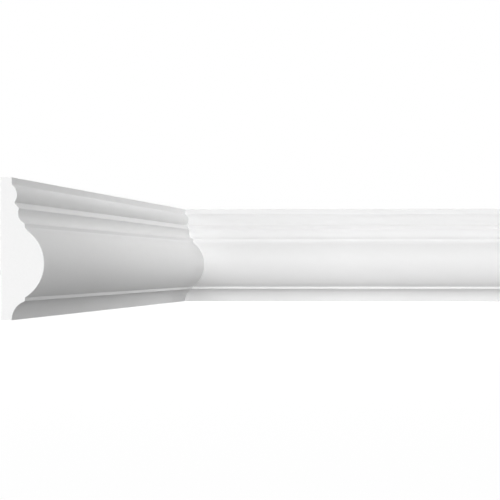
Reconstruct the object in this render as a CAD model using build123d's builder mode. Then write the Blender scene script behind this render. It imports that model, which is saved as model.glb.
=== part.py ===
from build123d import *

import os

# Wall moulding at the inside corner of a room.
# Two lengths of one solid section run along the two walls and meet in a mitre.
# Frame: +Z up, origin in the wall corner at the moulding's bottom edge.
# The left length runs along -Y on the left wall, the right length along +X on the back wall.
# All sizes are in millimetres and degrees.

# Lengths of the two runs, each measured along its wall from the wall corner to the square-cut end
left_run = 1000.0
right_run = 2000.0

# Angle between the two walls, seen from above
wall_angle = 90.0

# Heights of the members of the section, from the bottom edge up
foot_cove_height = 10.7
lower_fillet_height = 1.95
torus_height = 36.9
quirk_height = 2.4
upper_fillet_height = 2.25
scotia_height = 8.4
splay_height = 3.3
bead_height = 9.8
top_fillet_height = 4.3

# Distances of the members' edges from the wall
bottom_projection = 6.2
torus_fillet_projection = 13.6
quirk_projection = 15.7
splay_projection = 10.45
valley_projection = 7.6
top_projection = 6.2

# Rise of each round member over the straight line between its two edges
torus_rise = 9.8
scotia_depth = 1.92
bead_rise = 2.26

# Softening of every edge and valley on the moulded face
arris_radius = 0.4

# Levels of the members' upper edges above the bottom edge
foot_cove_top = foot_cove_height
lower_fillet_top = foot_cove_top + lower_fillet_height
torus_top = lower_fillet_top + torus_height
quirk_top = torus_top + quirk_height
upper_fillet_top = quirk_top + upper_fillet_height
scotia_top = upper_fillet_top + scotia_height
splay_top = scotia_top + splay_height
bead_top = splay_top + bead_height
top_edge = bead_top + top_fillet_height

# Directions of the two runs, and the mitre plane that halves the angle between them
left_direction = Vector(0, -1, 0)
right_direction = left_direction.rotate(Axis.Z, wall_angle)
into_room_from_left = Vector(1, 0, 0)
into_room_from_right = right_direction.rotate(Axis.Z, -90)
mitre_normal = into_room_from_left.rotate(Axis.Z, wall_angle / 2)
mitre_plane = Plane(origin=(0, 0, 0), z_dir=mitre_normal)


def mitred_length(label, run, direction, into_room, mitre_side):
    """One length of the moulding: the section drawn against its wall, run out and cut to the mitre."""
    section_normal = into_room.cross(Vector(0, 0, 1))
    section_plane = Plane(origin=(0, 0, 0), x_dir=into_room, z_dir=section_normal)
    with BuildPart() as length:
        with BuildSketch(section_plane) as section:
            with BuildLine():
                foot = Line((0, 0), (bottom_projection, 0))
                foot_cove = TangentArc(foot @ 1, (torus_fillet_projection, foot_cove_top), tangent=(0, 1))
                lower_fillet = Line(foot_cove @ 1, (torus_fillet_projection, lower_fillet_top))
                torus = SagittaArc(lower_fillet @ 1, (quirk_projection, torus_top), -torus_rise)
                quirk = Line(torus @ 1, (torus_fillet_projection, quirk_top))
                upper_fillet = Line(quirk @ 1, (torus_fillet_projection, upper_fillet_top))
                scotia = SagittaArc(upper_fillet @ 1, (splay_projection, scotia_top), scotia_depth)
                splay = Line(scotia @ 1, (valley_projection, splay_top))
                bead = SagittaArc(splay @ 1, (top_projection, bead_top), -bead_rise)
                top_fillet = Line(bead @ 1, (top_projection, top_edge))
                Polyline(top_fillet @ 1, (0, top_edge), (0, 0))
            make_face()
            moulded_edges = section.vertices().filter_by(
                lambda corner: section_plane.to_local_coords(corner).X > arris_radius
            )
            fillet(moulded_edges, arris_radius)
        extrude(amount=run, dir=direction)
        split(bisect_by=mitre_plane, keep=mitre_side)
    length.part.label = label
    return length.part


left_length = mitred_length("left_length", left_run, left_direction, into_room_from_left, Keep.BOTTOM)
right_length = mitred_length("right_length", right_run, right_direction, into_room_from_right, Keep.TOP)

os.makedirs("parts", exist_ok=True)
for piece in (left_length, right_length):
    export_step(piece, f"parts/{piece.label}.step")
    print(piece.label, piece.bounding_box().size, round(piece.volume), "mm3")
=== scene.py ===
"""Wall moulding at an inside corner: fine meshes, finishes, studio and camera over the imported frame."""

import logging
import math
from abc import ABC, abstractmethod
from dataclasses import dataclass, fields
from enum import Enum
from typing import Any

import bpy
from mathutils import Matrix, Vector


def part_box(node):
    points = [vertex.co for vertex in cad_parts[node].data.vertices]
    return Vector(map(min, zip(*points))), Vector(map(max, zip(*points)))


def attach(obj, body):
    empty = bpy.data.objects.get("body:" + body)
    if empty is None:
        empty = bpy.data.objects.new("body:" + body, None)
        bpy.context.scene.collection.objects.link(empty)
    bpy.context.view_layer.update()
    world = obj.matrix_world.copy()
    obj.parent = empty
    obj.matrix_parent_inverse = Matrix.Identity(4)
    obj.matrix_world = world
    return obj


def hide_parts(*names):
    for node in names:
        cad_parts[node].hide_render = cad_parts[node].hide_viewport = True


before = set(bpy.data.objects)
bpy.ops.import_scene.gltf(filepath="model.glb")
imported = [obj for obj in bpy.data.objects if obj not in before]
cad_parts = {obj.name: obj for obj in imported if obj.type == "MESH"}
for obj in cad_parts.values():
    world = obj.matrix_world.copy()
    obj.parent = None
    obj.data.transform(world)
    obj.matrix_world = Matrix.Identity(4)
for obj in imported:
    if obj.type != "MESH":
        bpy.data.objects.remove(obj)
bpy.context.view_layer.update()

MM = 0.001
UP = Vector((0.0, 0.0, 1.0))
# A face looks straight along a direction when the cosine between them is above this.
SQUARE_ON = 0.999
# A new camera looks straight down, and turned up by this angle it looks level.
LEVEL_DEG = 90.0

log = logging.getLogger("moulding")


class Wall(Enum):
    """The wall that a length runs along. The value is the name of the length's node."""

    LEFT = "left_length"
    BACK = "right_length"

    @property
    def out(self) -> Vector:
        """The direction from the wall into the room."""
        return Vector((1.0, 0.0, 0.0)) if self is Wall.LEFT else Vector((0.0, -1.0, 0.0))

    @property
    def along(self) -> Vector:
        """The direction of the run, from the wall corner to the square-cut end."""
        return Vector((0.0, -1.0, 0.0)) if self is Wall.LEFT else Vector((1.0, 0.0, 0.0))

    @property
    def mitre(self) -> Vector:
        """The direction that the mitre face looks in."""
        return (self.out - self.along).normalized()

    @property
    def run(self) -> float:
        """The length of the run in metres, from the frame."""
        low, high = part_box(self.value)
        return abs((high - low).dot(self.along))

    def place(self, projection: float, level: float, distance: float = 0.0) -> Vector:
        """Turns a point of the section into a place in the room.

        Args:
            projection: distance from the wall, in millimetres.
            level: height above the bottom edge, in millimetres.
            distance: distance along the run from the wall corner, in millimetres.

        Returns:
            The place in metres.
        """
        return (self.out * projection + UP * level + self.along * distance) * MM


def linear(hex_code: str) -> tuple[float, float, float, float]:
    """Turns an sRGB hex colour into linear RGBA.

    Args:
        hex_code: six hex digits with a leading #.

    Returns:
        The colour for a shader socket, with alpha 1.
    """
    parts = [int(hex_code[i : i + 2], 16) / 255 for i in (1, 3, 5)]
    red, green, blue = (c / 12.92 if c <= 0.04045 else ((c + 0.055) / 1.055) ** 2.4 for c in parts)
    return red, green, blue, 1.0


def add_node(
    tree: bpy.types.NodeTree, kind: str, inputs: dict[str | int, Any], **settings: Any
) -> bpy.types.Node:
    """Adds one node with its settings, values and links.

    Args:
        tree: the node tree that gets the node.
        kind: the node's type name.
        inputs: input name or number to a value, or to the output socket that feeds it.
        settings: properties of the node itself.

    Returns:
        The new node.
    """
    node = tree.nodes.new(kind)
    for name, value in settings.items():
        setattr(node, name, value)
    for name, value in inputs.items():
        if isinstance(value, bpy.types.NodeSocket):
            tree.links.new(value, node.inputs[name])
        else:
            node.inputs[name].default_value = value
    return node


def new_material(name: str) -> bpy.types.Material:
    """Makes a node material.

    Args:
        name: the material's name.

    Returns:
        The material, with no nodes yet.
    """
    material = bpy.data.materials.new(name)
    material.use_nodes = True
    material.node_tree.nodes.clear()
    return material


class Face(Enum):
    """The kinds of face on a length. The value is the number of the face's material slot."""

    MOULDED = 0
    SAWN = 1
    BACK = 2


@dataclass(frozen=True)
class Pattern:
    """What a finish's pattern gives its shader: where it is tinted, its relief and its roughness."""

    shade: bpy.types.NodeSocket
    relief: bpy.types.NodeSocket
    roughness: float | bpy.types.NodeSocket


@dataclass(frozen=True)
class Finish(ABC):
    """A finish of the moulding: two tints and a low relief, drawn by a pattern on Object coordinates.

    The surface has the low tint where the pattern's shade is 0, and the full tint where it is 1.
    """

    name: str
    tint: str
    low_tint: str
    ior: float
    relief_mm: float

    @abstractmethod
    def pattern(self, tree: bpy.types.NodeTree, place: bpy.types.NodeSocket) -> Pattern:
        """Draws the finish's pattern.

        Args:
            tree: the node tree of the finish's material.
            place: the Object coordinates.

        Returns:
            The pattern, for the shader.
        """

    def material(self) -> bpy.types.Material:
        """Makes the finish's material.

        Returns:
            The material: one rough shader, tinted and embossed by the pattern.
        """
        material = new_material(self.name)
        tree = material.node_tree
        place = add_node(tree, "ShaderNodeTexCoord", {}).outputs["Object"]
        pattern = self.pattern(tree, place)
        colour = add_node(
            tree,
            "ShaderNodeMix",
            {"Factor": pattern.shade, "A": linear(self.low_tint), "B": linear(self.tint)},
            data_type="RGBA",
        )
        bump = add_node(
            tree,
            "ShaderNodeBump",
            {"Height": pattern.relief, "Strength": 1.0, "Distance": self.relief_mm * MM},
        )
        shader = add_node(
            tree,
            "ShaderNodeBsdfPrincipled",
            {
                "Base Color": colour.outputs["Result"],
                "Roughness": pattern.roughness,
                "IOR": self.ior,
                "Normal": bump.outputs["Normal"],
            },
        )
        add_node(tree, "ShaderNodeOutputMaterial", {"Surface": shader.outputs["BSDF"]})
        return material


@dataclass(frozen=True)
class PrimerCoat(Finish):
    """Factory primer on moulded polyurethane, sprayed white.

    To the eye it is an even, dead matt white, a little thinner in wide clouds, with a faint orange
    peel from the spray. The low tint is the thin coat's.
    """

    name: str = "white_primer_on_polyurethane"
    tint: str = "#f3f3f3"
    low_tint: str = "#f1f1f1"
    ior: float = 1.46
    relief_mm: float = 0.008
    roughness_low: float = 0.85
    roughness_high: float = 0.95
    cloud_mm: float = 45.0
    cloud_octaves: float = 3.0
    peel_mm: float = 1.6
    peel_octaves: float = 2.0

    def pattern(self, tree: bpy.types.NodeTree, place: bpy.types.NodeSocket) -> Pattern:
        """Draws clouds in the coat's thickness and gloss, and its orange peel.

        Args:
            tree: the node tree of the finish's material.
            place: the Object coordinates.

        Returns:
            The pattern, for the shader.
        """
        cloud = add_node(
            tree,
            "ShaderNodeTexNoise",
            {"Vector": place, "Scale": 1 / (self.cloud_mm * MM), "Detail": self.cloud_octaves},
        ).outputs["Fac"]
        gloss = add_node(
            tree,
            "ShaderNodeMapRange",
            {"Value": cloud, "To Min": self.roughness_low, "To Max": self.roughness_high},
        ).outputs["Result"]
        peel = add_node(
            tree,
            "ShaderNodeTexNoise",
            {"Vector": place, "Scale": 1 / (self.peel_mm * MM), "Detail": self.peel_octaves},
        ).outputs["Fac"]
        return Pattern(shade=cloud, relief=peel, roughness=gloss)


@dataclass(frozen=True)
class SawnFoam(Finish):
    """Rigid polyurethane foam, sawn across at the ends and the mitre.

    To the eye it is a dead matt white with a fine stipple of opened cells, which have the low tint.
    The real cells are about 0.25 mm, too fine to show, so they are drawn 1 mm wide and very faint.
    """

    name: str = "sawn_polyurethane_foam"
    tint: str = "#fafafa"
    low_tint: str = "#f8f8f8"
    ior: float = 1.3
    relief_mm: float = 0.02
    roughness: float = 0.9
    cell_mm: float = 1.0

    def pattern(self, tree: bpy.types.NodeTree, place: bpy.types.NodeSocket) -> Pattern:
        """Draws the opened cells between paler cell walls.

        Args:
            tree: the node tree of the finish's material.
            place: the Object coordinates.

        Returns:
            The pattern, for the shader.
        """
        cell = add_node(
            tree,
            "ShaderNodeTexVoronoi",
            {"Vector": place, "Scale": 1 / (self.cell_mm * MM)},
            feature="SMOOTH_F1",
        ).outputs["Distance"]
        return Pattern(shade=cell, relief=cell, roughness=self.roughness)


@dataclass(frozen=True)
class SandedBack(Finish):
    """The foam's own skin on the flat back, sanded to thickness for the glue.

    To the eye it is a duller white than the primer, with fine sanding lines along the run, which have
    the low tint. The real grit leaves lines about 0.2 mm apart, too fine to show, so they are drawn
    1.5 mm apart.
    """

    name: str = "sanded_polyurethane_skin"
    tint: str = "#ececec"
    low_tint: str = "#e4e4e4"
    ior: float = 1.4
    relief_mm: float = 0.015
    roughness: float = 0.8
    line_mm: float = 1.5
    line_length_mm: float = 90.0
    line_octaves: float = 3.0

    def pattern(self, tree: bpy.types.NodeTree, place: bpy.types.NodeSocket) -> Pattern:
        """Draws sanding lines that run level along either wall.

        Args:
            tree: the node tree of the finish's material.
            place: the Object coordinates.

        Returns:
            The pattern, for the shader.
        """
        along, across = 1 / (self.line_length_mm * MM), 1 / (self.line_mm * MM)
        stretched = add_node(tree, "ShaderNodeMapping", {"Vector": place, "Scale": (along, along, across)})
        line = add_node(
            tree,
            "ShaderNodeTexNoise",
            {"Vector": stretched.outputs["Vector"], "Scale": 1.0, "Detail": self.line_octaves},
        ).outputs["Fac"]
        return Pattern(shade=line, relief=line, roughness=self.roughness)


@dataclass(frozen=True)
class Member:
    """One member of the section, drawn upwards from the upper edge of the one below it, in millimetres.

    A rise above zero swells the member into the room, and one below zero hollows it.
    """

    projection: float
    height: float
    rise: float = 0.0


@dataclass(frozen=True)
class Section:
    """The moulding's section: its members from the bottom edge up."""

    foot: Member = Member(projection=6.2, height=0.0)
    foot_cove: Member = Member(projection=13.6, height=10.7, rise=-2.03)
    lower_fillet: Member = Member(projection=13.6, height=1.95)
    torus: Member = Member(projection=15.7, height=36.9, rise=9.8)
    quirk: Member = Member(projection=13.6, height=2.4)
    upper_fillet: Member = Member(projection=13.6, height=2.25)
    scotia: Member = Member(projection=10.45, height=8.4, rise=-1.92)
    splay: Member = Member(projection=7.6, height=3.3)
    bead: Member = Member(projection=6.2, height=9.8, rise=2.26)
    top_fillet: Member = Member(projection=6.2, height=4.3)
    top_edge: Member = Member(projection=0.0, height=0.0)

    def members(self) -> list[Member]:
        """The members in the order they are drawn."""
        return [getattr(self, field.name) for field in fields(self)]


@dataclass(frozen=True)
class Fineness:
    """How finely a length is modelled, with lengths in millimetres.

    The run starts by the overrun before the wall corner, so that the mitre cuts right through it.
    """

    arris: float = 0.3
    arris_steps: int = 3
    arc_step: float = 0.6
    fewest_arc_steps: int = 8
    same_place: float = 0.01
    bay: float = 50.0
    overrun: float = 40.0
    smooth_under_deg: float = 12.0


@dataclass
class MouldingLength:
    """One moulded length: the section drawn against its wall, run out, mitred and dressed."""

    wall: Wall
    section: Section
    fine: Fineness
    finishes: dict[Face, bpy.types.Material]

    def build(self) -> bpy.types.Object:
        """Models and dresses the length in place of its node.

        Returns:
            The finished piece, riding on the root body.
        """
        bpy.ops.object.select_all(action="DESELECT")
        bpy.ops.mesh.primitive_plane_add(size=MM, location=(0.0, 0.0, 0.0))
        piece = bpy.context.object
        piece.name = f"{self.wall.value}_moulded"
        piece.data.name = piece.name
        bpy.ops.object.mode_set(mode="EDIT")
        corners = self.draw_outline()
        self.soften(corners)
        self.run_out()
        self.cut_mitre()
        bpy.ops.object.mode_set(mode="OBJECT")
        bpy.ops.object.shade_smooth_by_angle(angle=math.radians(self.fine.smooth_under_deg))
        self.dress(piece)
        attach(piece, "root")
        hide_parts(self.wall.value)
        return piece

    def draw_outline(self) -> list[Vector]:
        """Draws the section as one face, member by member, past the corner end of the run.

        Returns:
            The corners of the moulded face, whose arrises are softened.
        """
        start = -self.fine.overrun
        bpy.ops.mesh.merge(type="CENTER")
        bpy.ops.transform.translate(value=self.wall.place(0.0, 0.0, start))
        projection, level = 0.0, 0.0
        corners = []
        for member in self.section.members():
            step = self.wall.place(member.projection - projection, member.height)
            if member.rise:
                self.draw_arc(projection, level, member)
            else:
                bpy.ops.mesh.extrude_vertices_move(TRANSFORM_OT_translate={"value": step})
            projection, level = member.projection, level + member.height
            corners.append(self.wall.place(projection, level, start))
        bpy.ops.mesh.select_all(action="SELECT")
        bpy.ops.mesh.edge_face_add()
        return corners[:-1]

    def draw_arc(self, projection: float, level: float, member: Member) -> None:
        """Spins the outline's end along a round member.

        Args:
            projection: distance of the member's lower edge from the wall, in millimetres.
            level: height of its lower edge, in millimetres.
            member: the round member.
        """
        over, up = member.projection - projection, member.height
        chord, depth = math.hypot(over, up), abs(member.rise)
        # The chord and the rise give the radius, and the centre lies square to the chord's middle.
        radius = (chord**2 / 4 + depth**2) / (2 * depth)
        side = math.copysign(radius - depth, member.rise) / chord
        centre = self.wall.place(
            projection + over / 2 - up * side,
            level + up / 2 + over * side,
            -self.fine.overrun,
        )
        turn = math.copysign(4 * math.atan(2 * depth / chord), member.rise)
        bpy.ops.mesh.spin(
            steps=max(self.fine.fewest_arc_steps, round(radius * abs(turn) / self.fine.arc_step)),
            angle=turn,
            center=centre,
            axis=UP.cross(self.wall.out),
        )

    def soften(self, corners: list[Vector]) -> None:
        """Rounds the outline's arrises.

        Args:
            corners: the places of the corners to round, in metres.
        """
        mesh = bpy.context.object.data
        reach = self.fine.same_place * MM
        bpy.ops.mesh.select_all(action="DESELECT")
        bpy.ops.object.mode_set(mode="OBJECT")
        for vertex in mesh.vertices:
            vertex.select = any((vertex.co - corner).length < reach for corner in corners)
        bpy.ops.object.mode_set(mode="EDIT")
        bpy.ops.mesh.select_mode(type="VERT")
        bpy.ops.mesh.bevel(
            affect="VERTICES",
            offset=self.fine.arris * MM,
            segments=self.fine.arris_steps,
            clamp_overlap=True,
        )

    def run_out(self) -> None:
        """Extrudes the section along the wall to the square-cut end, in bays."""
        length = self.wall.run + self.fine.overrun * MM
        bays = math.ceil(length / (self.fine.bay * MM))
        step = self.wall.along * (length / bays)
        bpy.ops.mesh.select_all(action="SELECT")
        for _ in range(bays):
            bpy.ops.mesh.extrude_region_move(TRANSFORM_OT_translate={"value": step})

    def cut_mitre(self) -> None:
        """Cuts the corner end along the mitre plane and closes it."""
        bpy.ops.mesh.select_all(action="SELECT")
        bpy.ops.mesh.bisect(
            plane_co=(0.0, 0.0, 0.0), plane_no=self.wall.mitre, use_fill=True, clear_outer=True
        )
        bpy.ops.mesh.select_all(action="SELECT")
        bpy.ops.mesh.normals_make_consistent(inside=False)

    def dress(self, piece: bpy.types.Object) -> None:
        """Gives each face its finish.

        Args:
            piece: the modelled length.
        """
        for face in Face:
            piece.data.materials.append(self.finishes[face])
        for polygon in piece.data.polygons:
            polygon.material_index = self.face_kind(polygon.normal).value

    def face_kind(self, normal: Vector) -> Face:
        """Tells what kind of face points that way.

        Args:
            normal: the face's normal.

        Returns:
            The kind of face: the flat back, a sawn end or mitre, or the moulded rest.
        """
        if normal.dot(-self.wall.out) > SQUARE_ON:
            return Face.BACK
        if max(normal.dot(self.wall.along), normal.dot(self.wall.mitre)) > SQUARE_ON:
            return Face.SAWN
        return Face.MOULDED


class Aim(Enum):
    """What a lamp is turned to. The value is its place in the room, in metres."""

    CORNER = (0.03, -0.03, 0.03)
    MIDDLE = (0.3, -0.4, 0.04)
    LEFT_RUN = (0.02, -0.35, 0.04)
    NEAR_END = (0.02, -0.8, 0.04)
    FAR_END = (2.0, -0.01, 0.04)


@dataclass(frozen=True)
class Softbox:
    """One rectangular studio lamp, with its place and size in metres.

    A grid keeps its light within an angle, and at 180 degrees it has none.
    """

    name: str
    centre: tuple[float, float, float]
    aim: Aim
    watts: float
    width: float = 0.6
    height: float = 0.6
    grid_deg: float = 180.0

    def build(self) -> None:
        """Hangs the lamp at its place and turns it to its aim."""
        bpy.ops.object.select_all(action="DESELECT")
        bpy.ops.object.light_add(type="AREA", location=self.centre)
        lamp = bpy.context.object
        lamp.name = self.name
        lamp.data.shape = "RECTANGLE"
        lamp.data.size = self.width
        lamp.data.size_y = self.height
        lamp.data.energy = self.watts
        lamp.data.spread = math.radians(self.grid_deg)
        sight = Vector(self.aim.value) - Vector(self.centre)
        lamp.rotation_euler = sight.to_track_quat("-Z", "Y").to_euler()
        lamp.visible_camera = False


@dataclass(frozen=True)
class Studio:
    """Pale floor, white surroundings and soft lamps, with the floor's size in metres."""

    white: str = "#ffffff"
    floor_tint: str = "#aaaaaa"
    floor_size: float = 60.0
    floor_drop_mm: float = 0.2
    floor_glow: float = 0.88
    sky: float = 0.1

    def build(self) -> None:
        """Builds the floor, the world and the lamps."""
        self.build_floor()
        self.build_world()
        for lamp in self.lamps():
            lamp.build()

    def lamps(self) -> list[Softbox]:
        """The studio's lamps.

        Returns:
            Front lamps for the back run, lamps on the right and overhead for the left run, and one each
            for the backs and the far end, which the others don't reach.
        """
        return [
            Softbox("front_softbox", (0.2, -8.0, 0.12), Aim.MIDDLE, watts=285.0, height=0.2),
            Softbox(
                "front_left_softbox", (-0.45, -8.0, 0.12), Aim.MIDDLE, watts=91.0, width=0.9, height=0.2
            ),
            Softbox("upper_right_softbox", (1.5, -0.4, 2.5), Aim.LEFT_RUN, watts=1.56, grid_deg=60.0),
            Softbox("low_right_softbox", (7.5, -3.0, 0.57), Aim.LEFT_RUN, watts=42.7),
            Softbox("back_right_softbox", (2.24, 2.24, 1.48), Aim.CORNER, watts=4.06, grid_deg=80.0),
            Softbox("corner_softbox", (2.94, -1.7, 0.85), Aim.CORNER, watts=1.26, grid_deg=40.0),
            Softbox("overhead_softbox", (0.3, -0.4, 2.5), Aim.NEAR_END, watts=1.11, grid_deg=60.0),
            Softbox("rear_softbox", (-5.0, 6.0, 2.4), Aim.MIDDLE, watts=550.0, width=3.0, height=1.6),
            Softbox("far_end_softbox", (4.4, 1.4, 0.05), Aim.FAR_END, watts=50.0, width=1.0, height=0.06),
        ]

    def white_to_camera(self, tree: bpy.types.NodeTree) -> bpy.types.NodeSocket:
        """Adds a switch between what the camera sees and what lights the set.

        Args:
            tree: the node tree of the floor or the world.

        Returns:
            The switch: 1 for the camera, and for what it sees in gloss or through glass, and else 0.
        """
        rays = add_node(tree, "ShaderNodeLightPath", {})
        mirrored = add_node(
            tree,
            "ShaderNodeMath",
            {0: rays.outputs["Is Glossy Ray"], 1: rays.outputs["Is Transmission Ray"]},
            operation="MAXIMUM",
        )
        seen = add_node(
            tree,
            "ShaderNodeMath",
            {0: rays.outputs["Is Camera Ray"], 1: mirrored.outputs[0]},
            operation="MAXIMUM",
        )
        return seen.outputs[0]

    def build_floor(self) -> None:
        """Lays the floor: grey to the lamps, white to the camera, darker where the object shades it."""
        material = new_material("studio_floor")
        tree = material.node_tree
        paint = add_node(tree, "ShaderNodeBsdfDiffuse", {"Color": linear(self.floor_tint)})
        glow = add_node(
            tree, "ShaderNodeEmission", {"Color": linear(self.white), "Strength": self.floor_glow}
        )
        lit = add_node(tree, "ShaderNodeAddShader", {0: paint.outputs[0], 1: glow.outputs[0]})
        shown = add_node(
            tree,
            "ShaderNodeMixShader",
            {0: self.white_to_camera(tree), 1: paint.outputs[0], 2: lit.outputs[0]},
        )
        add_node(tree, "ShaderNodeOutputMaterial", {"Surface": shown.outputs[0]})
        bpy.ops.object.select_all(action="DESELECT")
        below = (0.0, 0.0, -self.floor_drop_mm * MM)
        bpy.ops.mesh.primitive_plane_add(size=self.floor_size, location=below)
        floor = bpy.context.object
        floor.name = "studio_floor"
        floor.data.materials.append(material)

    def build_world(self) -> None:
        """Surrounds the set with soft light that the camera sees as white."""
        world = bpy.data.worlds.new("studio_surround")
        bpy.context.scene.world = world
        world.use_nodes = True
        tree = world.node_tree
        tree.nodes.clear()
        soft, bright = (
            add_node(tree, "ShaderNodeBackground", {"Color": linear(self.white), "Strength": strength})
            for strength in (self.sky, 1.0)
        )
        shown = add_node(
            tree,
            "ShaderNodeMixShader",
            {0: self.white_to_camera(tree), 1: soft.outputs[0], 2: bright.outputs[0]},
        )
        add_node(tree, "ShaderNodeOutputWorld", {"Surface": shown.outputs[0]})


@dataclass(frozen=True)
class PhotoCamera:
    """The photo's viewpoint, worked out from the section, the mitre and the back run in its frame."""

    right_of_corner_mm: float = 275.9
    before_corner_mm: float = 2755.8
    height_mm: float = 29.83
    turn_left_deg: float = 4.430
    tilt_up_deg: float = 0.305
    focal_px: float = 3167.5
    frame_px: int = 500
    sensor_mm: float = 36.0

    def build(self) -> None:
        """Sets up the camera and makes it the scene's own."""
        bpy.ops.object.select_all(action="DESELECT")
        place = Vector((self.right_of_corner_mm, -self.before_corner_mm, self.height_mm)) * MM
        bpy.ops.object.camera_add(location=place)
        camera = bpy.context.object
        camera.name = "photo_camera"
        tilt, turn = math.radians(LEVEL_DEG + self.tilt_up_deg), math.radians(self.turn_left_deg)
        camera.rotation_euler = (tilt, 0.0, turn)
        camera.data.sensor_width = self.sensor_mm
        camera.data.lens = self.focal_px * self.sensor_mm / self.frame_px
        bpy.context.scene.camera = camera


def main() -> None:
    """Builds the camera, both lengths and the studio."""
    logging.basicConfig(level=logging.INFO, format="%(message)s")
    PhotoCamera().build()
    finishes = {
        Face.MOULDED: PrimerCoat().material(),
        Face.SAWN: SawnFoam().material(),
        Face.BACK: SandedBack().material(),
    }
    for wall in Wall:
        piece = MouldingLength(wall, Section(), Fineness(), finishes).build()
        log.info("%s: %d faces", piece.name, len(piece.data.polygons))
    Studio().build()
    bpy.context.scene.view_settings.view_transform = "Standard"


if __name__ == "__main__":
    main()
